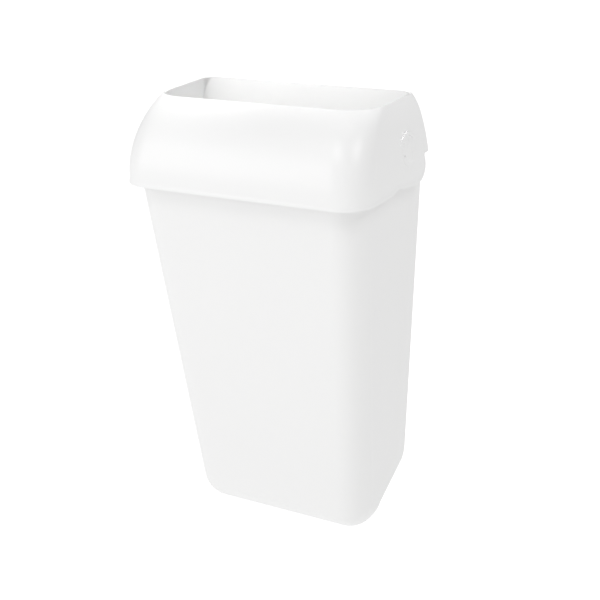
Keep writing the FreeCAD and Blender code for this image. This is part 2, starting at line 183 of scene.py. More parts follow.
def sheet(
    name: str, columns: int, rows: int, place: Callable[[int, int], Point], wrap: bool = False
) -> bpy.types.Object:
    """Draw a grid out to a moulded skin whose section changes all the way along.

    Args:
        name: The object's name.
        columns: Faces along or round the skin.
        rows: Faces across or up the skin.
        place: Gives the point for a column and a row, both counted from 0.
        wrap: Whether the last column meets the first.

    Returns:
        The skin, its seam merged.
    """
    deselect()
    bpy.ops.mesh.primitive_grid_add(x_subdivisions=columns, y_subdivisions=rows, size=1)
    piece = bpy.context.object
    piece.name = name
    for vertex in piece.data.vertices:
        column = round((vertex.co.x + 0.5) * columns)
        vertex.co = place(column % columns if wrap else column, round((vertex.co.y + 0.5) * rows))
    bpy.ops.object.mode_set(mode="EDIT")
    bpy.ops.mesh.select_all(action="SELECT")
    bpy.ops.mesh.remove_doubles(threshold=1e-6)
    bpy.ops.mesh.normals_make_consistent(inside=False)
    bpy.ops.object.mode_set(mode="OBJECT")
    return piece


def close_sides(piece: bpy.types.Object) -> None:
    """Fill the flat left and right side of a skin, and turn all its faces outwards.

    Args:
        piece: The skin, open at both sides.
    """
    for side in (-1, 1):
        pick(piece)
        bpy.ops.object.mode_set(mode="EDIT")
        bpy.ops.mesh.select_mode(type="EDGE")
        bpy.ops.mesh.select_all(action="DESELECT")
        bpy.ops.mesh.select_non_manifold()
        bpy.ops.object.mode_set(mode="OBJECT")
        for edge in piece.data.edges:
            ends = [piece.data.vertices[index].co for index in edge.vertices]
            edge.select = edge.select and all(end.x * side > 0.01 for end in ends)
        bpy.ops.object.mode_set(mode="EDIT")
        bpy.ops.mesh.edge_face_add()
        bpy.ops.object.mode_set(mode="OBJECT")
    pick(piece)
    bpy.ops.object.mode_set(mode="EDIT")
    bpy.ops.mesh.select_all(action="SELECT")
    bpy.ops.mesh.normals_make_consistent(inside=False)
    bpy.ops.object.mode_set(mode="OBJECT")


def ease(value: float) -> float:
    """Blend smoothly from 0 to 1.

    Args:
        value: Any number; below 0 gives 0 and above 1 gives 1.

    Returns:
        The eased number.
    """
    value = min(max(value, 0.0), 1.0)
    return value * value * (3 - 2 * value)


# ---------------------------------------------------------------- finishes


class Field(Enum):
    """What a node group's input or output carries."""

    NUMBER = "NodeSocketFloat"
    COLOUR = "NodeSocketColor"
    VECTOR = "NodeSocketVector"


class NodeKit:
    """Builds the shader node groups that the finishes share."""

    def __init__(self) -> None:
        """Build each group once."""
        self.grain = self._grain()
        self.drift = self._drift()
        self.marks = self._marks()
        self.wear = self._wear()
        self.brushing = self._brushing()

    @staticmethod
    def _group(name: str, inputs: dict[str, float], outputs: dict[str, Field]) -> bpy.types.NodeTree:
        """Make an empty group with numbers in and named fields out.

        Args:
            name: The group's name.
            inputs: Input names and their usual values.
            outputs: Output names and what they carry.

        Returns:
            The node tree.
        """
        tree = bpy.data.node_groups.new(name, "ShaderNodeTree")
        for label, value in inputs.items():
            socket = tree.interface.new_socket(name=label, in_out="INPUT", socket_type=Field.NUMBER.value)
            socket.default_value = value
        for label, kind in outputs.items():
            tree.interface.new_socket(name=label, in_out="OUTPUT", socket_type=kind.value)
        tree.nodes.new("NodeGroupInput")
        tree.nodes.new("NodeGroupOutput")
        return tree

    @staticmethod
    def _add(tree: bpy.types.NodeTree, kind: str, links: dict[str, object], **settings: object) -> bpy.types.Node:
        """Add a node, set its properties and feed its inputs.

        Args:
            tree: The tree that gets the node.
            kind: Blender's name of the node type.
            links: Input names with an output socket or a plain value each.
            **settings: Values for the node's properties.

        Returns:
            The node.
        """
        node = tree.nodes.new(kind)
        for name, value in settings.items():
            setattr(node, name, value)
        for name, value in links.items():
            socket = node.inputs[int(name)] if name.isdigit() else node.inputs[name]
            if isinstance(value, bpy.types.NodeSocket):
                tree.links.new(value, socket)
            else:
                socket.default_value = value
        return node

    def _grain(self) -> bpy.types.NodeTree:
        """Spark-eroded mould grain over a gentle orange peel.

        Returns:
            A group that puts out a height and a roughness.
        """
        tree = self._group(
            "moulded_grain",
            {"Grain Size": 900.0, "Peel Size": 70.0, "Peel Amount": 0.5, "Roughness": 0.35, "Roughness Spread": 0.06},
            {"Height": Field.NUMBER, "Roughness": Field.NUMBER},
        )
        given = tree.nodes["Group Input"].outputs
        place = self._add(tree, "ShaderNodeTexCoord", {}).outputs["Object"]
        fine = self._add(
            tree, "ShaderNodeTexNoise", {"Vector": place, "Scale": given["Grain Size"], "Detail": 3.0, "Roughness": 0.6}
        ).outputs["Fac"]
        peel = self._add(
            tree, "ShaderNodeTexNoise", {"Vector": place, "Scale": given["Peel Size"], "Detail": 1.0}
        ).outputs["Fac"]
        patchy = self._add(
            tree, "ShaderNodeTexNoise", {"Vector": place, "Scale": 14.0, "Detail": 4.0, "Roughness": 0.55}
        ).outputs["Fac"]
        weighted = self._add(tree, "ShaderNodeMath", {"0": peel, "1": given["Peel Amount"]}, operation="MULTIPLY")
        height = self._add(tree, "ShaderNodeMath", {"0": fine, "1": weighted.outputs[0]}, operation="ADD")
        centred = self._add(tree, "ShaderNodeMath", {"0": patchy, "1": 0.5}, operation="SUBTRACT").outputs[0]
        spread = self._add(
            tree, "ShaderNodeMath", {"0": centred, "1": given["Roughness Spread"], "2": given["Roughness"]},
            operation="MULTIPLY_ADD",
        )
        tree.links.new(height.outputs[0], tree.nodes["Group Output"].inputs["Height"])
        tree.links.new(spread.outputs[0], tree.nodes["Group Output"].inputs["Roughness"])
        return tree

    def _drift(self) -> bpy.types.NodeTree:
        """Slow drift of tone, as in any moulded or painted surface.

        Returns:
            A group that puts out a mask from 0 to 1.
        """
        tree = self._group("tone_drift", {"Size": 5.0, "Speckle": 0.15}, {"Mask": Field.NUMBER})
        given = tree.nodes["Group Input"].outputs
        place = self._add(tree, "ShaderNodeTexCoord", {}).outputs["Object"]
        broad = self._add(
            tree, "ShaderNodeTexNoise", {"Vector": place, "Scale": given["Size"], "Detail": 2.0}
        ).outputs["Fac"]
        specks = self._add(
            tree, "ShaderNodeTexNoise", {"Vector": place, "Scale": 420.0, "Detail": 2.0}
        ).outputs["Fac"]
        centred = self._add(tree, "ShaderNodeMath", {"0": specks, "1": 0.5}, operation="SUBTRACT").outputs[0]
        mask = self._add(
            tree, "ShaderNodeMath", {"0": centred, "1": given["Speckle"], "2": broad},
            operation="MULTIPLY_ADD", use_clamp=True,
        )
        tree.links.new(mask.outputs[0], tree.nodes["Group Output"].inputs["Mask"])
        return tree

    def _marks(self) -> bpy.types.NodeTree:
        """Fine upright wipe and handling marks.

        Returns:
            A group that puts out a mask from 0 to 1.
        """
        tree = self._group("wipe_marks", {"Density": 60.0, "Sharpness": 14.0}, {"Mask": Field.NUMBER})
        given = tree.nodes["Group Input"].outputs
        place = self._add(tree, "ShaderNodeTexCoord", {}).outputs["Object"]
        drawn = self._add(
            tree, "ShaderNodeMapping", {"Vector": place, "Rotation": (0.2, 0.35, 0.1), "Scale": (1.0, 1.0, 0.06)}
        ).outputs["Vector"]
        streaks = self._add(
            tree, "ShaderNodeTexNoise", {"Vector": drawn, "Scale": given["Density"], "Detail": 5.0, "Roughness": 0.7}
        ).outputs["Fac"]
        raised = self._add(
            tree, "ShaderNodeMath", {"0": streaks, "1": given["Sharpness"]}, operation="POWER", use_clamp=True
        ).outputs[0]
        mask = self._add(tree, "ShaderNodeMath", {"0": raised, "1": 60.0}, operation="MULTIPLY", use_clamp=True)
        tree.links.new(mask.outputs[0], tree.nodes["Group Output"].inputs["Mask"])
        return tree

    def _wear(self) -> bpy.types.NodeTree:
        """Rubbed edges: where the surface turns sharply outwards, broken up by noise.

        Returns:
            A group that puts out a mask from 0 to 1.
        """
        tree = self._group("edge_wear", {"Edge": 0.53, "Softness": 12.0, "Break-up": 0.6}, {"Mask": Field.NUMBER})
        given = tree.nodes["Group Input"].outputs
        turn = self._add(tree, "ShaderNodeNewGeometry", {}).outputs["Pointiness"]
        place = self._add(tree, "ShaderNodeTexCoord", {}).outputs["Object"]
        noise = self._add(
            tree, "ShaderNodeTexNoise", {"Vector": place, "Scale": 120.0, "Detail": 5.0}
        ).outputs["Fac"]
        above = self._add(tree, "ShaderNodeMath", {"0": turn, "1": given["Edge"]}, operation="SUBTRACT").outputs[0]
        edge = self._add(
            tree, "ShaderNodeMath", {"0": above, "1": given["Softness"]}, operation="MULTIPLY", use_clamp=True
        ).outputs[0]
        broken = self._add(
            tree, "ShaderNodeMath", {"0": noise, "1": given["Break-up"]}, operation="MULTIPLY"
        ).outputs[0]
        mask = self._add(tree, "ShaderNodeMath", {"0": edge, "1": broken}, operation="MULTIPLY", use_clamp=True)
        tree.links.new(mask.outputs[0], tree.nodes["Group Output"].inputs["Mask"])
        return tree

    def _brushing(self) -> bpy.types.NodeTree:
        """Rolling and drawing lines of bare metal.

        Returns:
            A group that puts out a height and a roughness.
        """
        tree = self._group(
            "drawn_metal", {"Density": 700.0, "Roughness": 0.32, "Roughness Spread": 0.2},
            {"Height": Field.NUMBER, "Roughness": Field.NUMBER},
        )
        given = tree.nodes["Group Input"].outputs
        place = self._add(tree, "ShaderNodeTexCoord", {}).outputs["Object"]
        drawn = self._add(tree, "ShaderNodeMapping", {"Vector": place, "Scale": (0.04, 1.0, 1.0)}).outputs["Vector"]
        lines = self._add(
            tree, "ShaderNodeTexNoise", {"Vector": drawn, "Scale": given["Density"], "Detail": 3.0}
        ).outputs["Fac"]
        centred = self._add(tree, "ShaderNodeMath", {"0": lines, "1": 0.5}, operation="SUBTRACT").outputs[0]
        spread = self._add(
            tree, "ShaderNodeMath", {"0": centred, "1": given["Roughness Spread"], "2": given["Roughness"]},
            operation="MULTIPLY_ADD", use_clamp=True,
        )
        tree.links.new(lines, tree.nodes["Group Output"].inputs["Height"])
        tree.links.new(spread.outputs[0], tree.nodes["Group Output"].inputs["Roughness"])
        return tree

    def place(self, material: bpy.types.Material, tree: bpy.types.NodeTree, **values: float) -> bpy.types.Node:
        """Use a group in a material with its own values.

        Args:
            material: The material.
            tree: The group.
            **values: Input names, with _ for a space, and their values.

        Returns:
            The group's node.
        """
        node = material.node_tree.nodes.new("ShaderNodeGroup")
        node.node_tree = tree
        for name, value in values.items():
            node.inputs[name.replace("_", " ")].default_value = value
        return node


@dataclass(frozen=True)
class Finish:
    """What every finish has: a name, two close tones and a way to be made.

    Attributes:
        name: The material's name.
        tone: The usual colour, linear.
        shade: The colour that it drifts towards.
    """

    name: str
    tone: tuple[float, float, float]
    shade: tuple[float, float, float]

    def _start(self) -> tuple[bpy.types.Material, bpy.types.Node]:
        """Make an empty material.

        Returns:
            The material and its Principled BSDF.
        """
        material = bpy.data.materials.new(self.name)
        material.use_nodes = True
        return material, material.node_tree.nodes["Principled BSDF"]

    def _mix(
        self, material: bpy.types.Material, mask: bpy.types.NodeSocket, first: object, second: object
    ) -> bpy.types.NodeSocket:
        """Mix two colours by a mask.

        Args:
            material: The material.
            mask: Where the second colour shows.
            first: A colour or a socket.
            second: A colour or a socket.

        Returns:
            The mixed colour.
        """
        node = material.node_tree.nodes.new("ShaderNodeMix")
        node.data_type = "RGBA"
        material.node_tree.links.new(mask, node.inputs["Factor"])
        for socket, value in ((node.inputs[6], first), (node.inputs[7], second)):
            if isinstance(value, bpy.types.NodeSocket):
                material.node_tree.links.new(value, socket)
            else:
                socket.default_value = (*value, 1.0)
        return node.outputs[2]

    def _bump(self, material: bpy.types.Material, height: bpy.types.NodeSocket, depth: float) -> None:
        """Feed a height to the surface's normal.

        Args:
            material: The material.
            height: The height field.
            depth: The relief in metres.
        """
        node = material.node_tree.nodes.new("ShaderNodeBump")
        node.inputs["Strength"].default_value = 0.6
        node.inputs["Distance"].default_value = depth
        shader = material.node_tree.nodes["Principled BSDF"]
        material.node_tree.links.new(height, node.inputs["Height"])
        material.node_tree.links.new(node.outputs["Normal"], shader.inputs["Normal"])

    def make(self, kit: NodeKit) -> bpy.types.Material:
        """Make the material.

        Args:
            kit: The shared node groups.

        Returns:
            The material.
        """
        raise NotImplementedError


@dataclass(frozen=True)
class MouldedPlastic(Finish):
    """Moulded plastic with fine grain, tone drift, wipe marks and rubbed edges.

    Attributes:
        roughness: The usual roughness.
        relief: Depth of the grain in metres.
        marks: How strongly wipe marks dull the surface.
    """

    roughness: float = 0.34
    relief: float = 0.00004
    marks: float = 0.12

    def make(self, kit: NodeKit) -> bpy.types.Material:
        """Make the plastic.

        Args:
            kit: The shared node groups.

        Returns:
            The material.
        """
        material, shader = self._start()
        links = material.node_tree.links
        grain = kit.place(material, kit.grain, Roughness=self.roughness, Peel_Amount=2.5)
        drift = kit.place(material, kit.drift)
        marks = kit.place(material, kit.marks)
        wear = kit.place(material, kit.wear)
        colour = self._mix(material, drift.outputs["Mask"], self.tone, self.shade)
        worn = tuple(channel * 0.9 for channel in self.shade)
        links.new(self._mix(material, wear.outputs["Mask"], colour, worn), shader.inputs["Base Color"])
        duller = material.node_tree.nodes.new("ShaderNodeMath")
        duller.operation = "MULTIPLY_ADD"
        links.new(marks.outputs["Mask"], duller.inputs[0])
        duller.inputs[1].default_value = self.marks
        links.new(grain.outputs["Roughness"], duller.inputs[2])
        links.new(duller.outputs[0], shader.inputs["Roughness"])
        self._bump(material, grain.outputs["Height"], self.relief)
        shader.inputs["IOR"].default_value = 1.49
        return material


@dataclass(frozen=True)
class BareMetal(Finish):
    """Plated or stainless metal with drawing lines.

    Attributes:
        roughness: The usual roughness.
        lines: Drawing lines in a metre.
    """

    roughness: float = 0.3
    lines: float = 700.0

    def make(self, kit: NodeKit) -> bpy.types.Material:
        """Make the metal.

        Args:
            kit: The shared node groups.

        Returns:
            The material.
        """
        material, shader = self._start()
        links = material.node_tree.links
        brushing = kit.place(material, kit.brushing, Density=self.lines, Roughness=self.roughness)
        drift = kit.place(material, kit.drift, Size=30.0, Speckle=0.5)
        links.new(self._mix(material, drift.outputs["Mask"], self.tone, self.shade), shader.inputs["Base Color"])
        links.new(brushing.outputs["Roughness"], shader.inputs["Roughness"])
        self._bump(material, brushing.outputs["Height"], 0.00002)
        shader.inputs["Metallic"].default_value = 1.0
        return material


@dataclass(frozen=True)
class SoftRubber(Finish):
    """Dull rubber with a little bloom.

    Attributes:
        roughness: The usual roughness.
    """

    roughness: float = 0.78

    def make(self, kit: NodeKit) -> bpy.types.Material:
        """Make the rubber.

        Args:
            kit: The shared node groups.

        Returns:
            The material.
        """
        material, shader = self._start()
        links = material.node_tree.links
        grain = kit.place(material, kit.grain, Grain_Size=1600.0, Roughness=self.roughness, Roughness_Spread=0.2)
        drift = kit.place(material, kit.drift, Size=60.0, Speckle=0.8)
        links.new(self._mix(material, drift.outputs["Mask"], self.tone, self.shade), shader.inputs["Base Color"])
        links.new(grain.outputs["Roughness"], shader.inputs["Roughness"])
        self._bump(material, grain.outputs["Height"], 0.00008)
        return material


@dataclass
class Finishes:
    """All the finishes of the bin."""

    kit: NodeKit = field(default_factory=NodeKit)

    def __post_init__(self) -> None:
        """Make each material once."""
        self.body = MouldedPlastic("body_plastic", (0.95, 0.95, 0.947), (0.935, 0.935, 0.932)).make(self.kit)
        self.hood = MouldedPlastic("hood_plastic", (0.965, 0.965, 0.963), (0.95, 0.95, 0.948), 0.3).make(self.kit)
        self.cap = MouldedPlastic("cap_plastic", (0.965, 0.965, 0.963), (0.95, 0.95, 0.948), 0.28).make(self.kit)
        self.acetal = MouldedPlastic("bush_plastic", (0.8, 0.79, 0.74), (0.76, 0.75, 0.69), 0.42).make(self.kit)
        self.saddle = MouldedPlastic("clip_plastic", (0.74, 0.74, 0.73), (0.7, 0.7, 0.69), 0.5).make(self.kit)
        self.coat = MouldedPlastic(
            "bracket_coat", (0.66, 0.66, 0.65), (0.62, 0.62, 0.61), 0.48, 0.00012
        ).make(self.kit)
        self.zinc = BareMetal("zinc_plate", (0.62, 0.62, 0.6), (0.5, 0.51, 0.52), 0.36).make(self.kit)
        self.stainless = BareMetal("stainless_wire", (0.68, 0.68, 0.68), (0.6, 0.6, 0.61), 0.2, 1200.0).make(self.kit)
        self.rubber = SoftRubber("dark_rubber", (0.028, 0.028, 0.028), (0.05, 0.05, 0.05)).make(self.kit)


def dress(piece: bpy.types.Object, material: bpy.types.Material) -> None:
    """Give a whole piece one finish.

    Args:
        piece: A new piece or a carried-over node.
        material: The finish.
    """
    if not piece.material_slots:
        piece.data.materials.append(material)
    for slot in piece.material_slots:
        slot.material = material


# ---------------------------------------------------------------- shells


@dataclass
class Section:
    """A rounded plan outline, in millimetres: flat sides joined by corner arcs.

    Attributes:
        half: Half its width.
        front: How far forward its front is.
        back: How far forward its back is.
        front_corner: Radius of the two front corners.
        back_corner: Radius of the two back corners.
    """

    half: float
    front: float
    back: float
    front_corner: float
    back_corner: float


class Side(Enum):
    """The stretches of a plan outline, in order round it from the front's left end."""

    FRONT = "front"
    FRONT_RIGHT = "front right corner"
    RIGHT = "right"
    BACK_RIGHT = "back right corner"
    BACK = "back"
    BACK_LEFT = "back left corner"
    LEFT = "left"
    FRONT_LEFT = "front left corner"


@dataclass
class Station:
    """A column's place round the outline.

    Attributes:
        side: The stretch that it lies on.
        part: How far along that stretch it is, from 0 to 1.
    """

    side: Side
    part: float

    def at(self, plan: Section) -> Plan:
        """Find this column's point on one outline.

        Args:
            plan: The outline.

        Returns:
            Its x and y in millimetres, with the bin's back at 0.
        """
        wide = plan.half - plan.front_corner
        narrow = plan.half - plan.back_corner
        near = -plan.front + plan.front_corner
        far = -plan.back - plan.back_corner
        turn = self.part * math.pi / 2
        match self.side:
            case Side.FRONT:
                return wide * (2 * self.part - 1), -plan.front
            case Side.FRONT_RIGHT:
                return wide + plan.front_corner * math.sin(turn), near - plan.front_corner * math.cos(turn)
            case Side.RIGHT:
                return plan.half, near + (far - near) * self.part
            case Side.BACK_RIGHT:
                return narrow + plan.back_corner * math.cos(turn), far + plan.back_corner * math.sin(turn)
            case Side.BACK:
                return narrow * (1 - 2 * self.part), -plan.back
            case Side.BACK_LEFT:
                return -narrow - plan.back_corner * math.sin(turn), far + plan.back_corner * math.cos(turn)
            case Side.LEFT:
                return -plan.half, far + (near - far) * self.part
            case _:
                return -wide - plan.front_corner * math.cos(turn), near - plan.front_corner * math.sin(turn)


def stations(along_front: int, along_back: list[float], along_side: list[float], corner: int) -> list[Station]:
    """List the columns round an outline.

    Args:
        along_front: Faces along the front.
        along_back: Parts of the way along the back, from 0, without 1.
        along_side: Parts of the way along the right side, from front to back, from 0, without 1.
        corner: Faces round each corner.

    Returns:
        The columns in order.
    """
    arcs = [step / corner for step in range(corner)]
    left = [0.0] + [1 - part for part in reversed(along_side) if part > 0]
    spans = {
        Side.FRONT: [step / along_front for step in range(along_front)],
        Side.FRONT_RIGHT: arcs,
        Side.RIGHT: along_side,
        Side.BACK_RIGHT: arcs,
        Side.BACK: along_back,
        Side.BACK_LEFT: arcs,
        Side.LEFT: left,
        Side.FRONT_LEFT: arcs,
    }
    return [Station(side, part) for side, parts in spans.items() for part in parts]


@dataclass
class Datum:
    """Where the bin's own zero lies, in metres: on its back plane, a little below its foot."""

    back: float = field(default_factory=lambda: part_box("bin_body")[1][1])
    foot: float = field(default_factory=lambda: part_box("bin_body")[0][2] - 8 * MM)

    def point(self, x: float, y: float, z: float) -> Point:
        """Turn millimetres from the bin's zero into the frame's metres.

        Args:
            x: To the right.
            y: Towards the wall.
            z: Up.

        Returns:
            The point in metres.
        """
        return x * MM, self.back + y * MM, self.foot + z * MM


@dataclass
class Hood:
    """The open hood: bulging walls, a rounded rim and a lobe at each rear side.

    Sizes are in millimetres from the bin's zero.
    """

    datum: Datum
    finishes: Finishes
    half: float = 165.0
    depth: float = 190.0
    belt: float = 468.7
    skirt: float = 462.4
    cusp: float = 466.7
    lobe: float = 459.5
    lobe_top: float = 490.5
    lobe_back: float = -18.9
    lobe_corner: float = 21.0
    rear_edge: float = 504.0
    rear_edge_half: float = 159.2
    rim: float = 562.0
    front_curve: float = 102.5
    side_curve: float = 264.5
    corner: float = 38.0
    rear_corner: float = 3.4
    rim_corner: float = 13.0
    wall: float = 2.5
    pivot: tuple[float, float] = (-60.0, 503.0)
    cap_radius: float = 18.0
    seat: float = 159.3
    boss_face: float = 157.0

    def section(self, height: float) -> Section:
        """Give the outline at a height.

        Args:
            height: Height above the bin's lowest point.

        Returns:
            The outline.
        """
        rise = max(height - self.belt, 0.0)
        half = self.half - self.side_curve + math.sqrt(self.side_curve**2 - rise**2)
        front = self.depth - self.front_curve + math.sqrt(self.front_curve**2 - rise**2)
        back = 4.0 + 5.0 * (height - self.skirt) / (self.rim - self.skirt)
        opening = max(height - self.rim + 24.0, 0.0) / 24.0
        back_corner = self.rear_corner + (self.rim_corner - self.rear_corner) * opening**2
        return Section(half, front, back, self.corner, back_corner)

    def lowest(self, x: float, y: float) -> float:
        """Give the lower edge's height at a place on the belt's outline.

        Args:
            x: To the right.
            y: Towards the wall.

        Returns:
            The height of the edge.
        """
        if y > self.lobe_back:
            return self.rear_edge if abs(x) < self.rear_edge_half else self.lobe_top
        if y > -40.0:
            along = min(y + 40.0, self.lobe_corner - 0.01)
            return self.lobe + self.lobe_corner - math.sqrt(self.lobe_corner**2 - along**2)
        if y > -94.0:
            return self.lobe + (self.cusp - self.lobe) * ((y + 46.0) / 48.0) ** 2
        if y > -118.0:
            return self.skirt + (self.cusp - self.skirt) * ((y + 118.0) / 24.0) ** 1.8
        return self.skirt

    def shell(self) -> bpy.types.Object:
        """Make the hood's outer skin and give it its wall and rounded edges.

        Returns:
            The shell.
        """
        belt = self.section(self.belt)
        near, far = -belt.front + belt.front_corner, -belt.back - belt.back_corner
        marks = [-152, -142, -132, -124, -116, -112, -108, -105, -102, -99, -96.5, -94, -91.5, -88, -84, -79, -74, -68]
        marks += [-62, -56, -50, -45, -40, -36, -32, -29, -26.5, -24.5, -23, -21.8, -20.8, -20, -19.4, -19.0, -18.8]
        along_side = [max((mark - near) / (far - near), 0.0) for mark in marks]
        steps = 14
        along_back = [step / steps for step in range(steps)]
        columns = stations(28, along_back, along_side, 14)
        lifts = [0.0, 0.5, 1.2, 2.2, 3.4, 5.0, 7.5]
        parts = [0.0, 0.06, 0.12, 0.18, 0.25, 0.32, 0.39, 0.46, 0.53, 0.6, 0.67, 0.74, 0.81, 0.87]
        parts += [0.92, 0.96, 0.985, 1.0]
        rows = len(lifts) + len(parts) - 1

        def place(column: int, row: int) -> Point:
            """Find one point of the skin."""
            station = columns[column]
            low = self.lowest(*station.at(belt))
            if row < len(lifts):
                height = low + lifts[row]
            else:
                start = low + lifts[-1] + 2.0
                height = start + (self.rim - start) * parts[row - len(lifts)]
            x, y = station.at(self.section(height))
            flare = 0.8 * (1 - ease((height - low - 1.6) / 4.0)) if low < 489 else 0.0
            out = Vector((x / belt.half, (y + 95.0) / 95.0)).normalized() * flare
            return self.datum.point(x + out.x, y + out.y, height)

        piece = sheet("hood_shell", len(columns), rows, place, wrap=True)
        finish_modifier(
            piece, "SOLIDIFY", thickness=self.wall * MM, offset=-1, use_even_offset=True, use_quality_normals=True
        )
        finish_modifier(
            piece, "BEVEL", width=1.05 * MM, segments=4, limit_method="ANGLE", angle_limit=math.radians(50),
            use_clamp_overlap=True, miter_outer="MITER_ARC",
        )
        return piece

    def build(self) -> bpy.types.Object:
        """Make the hood with its hinge seats and rest ribs.

        Returns:
            The finished hood.
        """
        piece = self.shell()
        pivot_y, pivot_z = self.pivot
        for side in (-1, 1):
            middle = self.datum.point(side * (self.boss_face + 2.2), pivot_y, pivot_z)
            boolean(piece, drum("boss", 22 * MM, middle, 4.4 * MM), "UNION")
            low = self.datum.point(side * 60 - 4, -183.6, 492)
            high = self.datum.point(side * 60 + 4, -172, 500)
            boolean(piece, block("rib", low, high), "UNION")
        for side in (-1, 1):
            middle = self.datum.point(side * (self.seat + 10), pivot_y, pivot_z)
            boolean(piece, drum("seat", (self.cap_radius + 0.2) * MM, middle, 20 * MM, sides=96), "DIFFERENCE")
            middle = self.datum.point(side * self.seat, pivot_y, pivot_z)
            boolean(piece, drum("pin_hole", 4.02 * MM, middle, 20 * MM), "DIFFERENCE")
        smooth(piece, 35)
        dress(piece, self.finishes.hood)
        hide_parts("hood")
        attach(piece, "hood")
        return piece

    def cap(self, side: int) -> bpy.types.Object:
        """Make a hinge cap: a disc that follows the bulge, with a tapered finger relief.

        Args:
            side: -1 for the left, 1 for the right.

        Returns:
            The cap.
        """
        name = "right" if side > 0 else "left"
        pivot_y, pivot_z = self.pivot
        middle = self.datum.point(side * (self.seat + 2.2), pivot_y, pivot_z)
        piece = drum(f"cap_{name}", (self.cap_radius + 0.18) * MM, middle, 4.4 * MM, sides=96)
        bpy.ops.object.mode_set(mode="EDIT")
        bpy.ops.mesh.select_mode(type="FACE")
        bpy.ops.mesh.select_all(action="DESELECT")
        bpy.ops.object.mode_set(mode="OBJECT")
        for polygon in piece.data.polygons:
            polygon.select = polygon.normal.x * side > 0.9
        bpy.ops.object.mode_set(mode="EDIT")
        for _ in range(17):
            bpy.ops.mesh.inset(thickness=1.0 * MM)
        bpy.ops.mesh.poke()
        bpy.ops.object.mode_set(mode="OBJECT")
        face = self.datum.point(side * (self.seat + 4.4), 0, 0)[0]
        for vertex in piece.data.vertices:
            if abs(vertex.co.x - face) < 1e-5:
                y = (vertex.co.y - self.datum.back) / MM
                z = (vertex.co.z - self.datum.foot) / MM
                vertex.co.x = side * (self.section(z).half + 0.2 + self.relief(y, z)) * MM
        finish_modifier(
            piece, "BEVEL", width=0.12 * MM, segments=2, limit_method="ANGLE", angle_limit=math.radians(50)
        )
        hole = drum("release", 1.5 * MM, self.datum.point(side * 162, pivot_y - 12.5, pivot_z - 3.5), 5 * MM, sides=32)
        boolean(piece, hole, "DIFFERENCE")
        smooth(piece, 35)
        dress(piece, self.finishes.cap)
        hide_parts(f"hinge_cap_{name}")
        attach(piece, "hood")
        return piece

    def relief(self, y: float, z: float) -> float:
        """Height of the finger relief on a cap: narrow at its top, wider below.

        Args:
            y: Towards the wall.
            z: Up.

        Returns:
            How proud of the cap it stands, in millimetres.
        """
        across, up = y - self.pivot[0] - 1.5, z - self.pivot[1]
        width = 3.0 + 4.5 * (1 - ease((up + 14) / 28))
        ends = ease((15.5 - abs(up)) / 5)
        return 0.9 * ends * (1 - ease((abs(across) - width * 0.4) / width))


@dataclass
class ProfilePoint:
    """A point of the body's side profile.

    Attributes:
        y: Towards the wall.
        z: Up.
        out_y: The surface's outward direction, towards the wall.
        out_z: The surface's outward direction, up.
        radius: How round the side edge is there.
    """

    y: float
    z: float
    out_y: float
    out_z: float
    radius: float


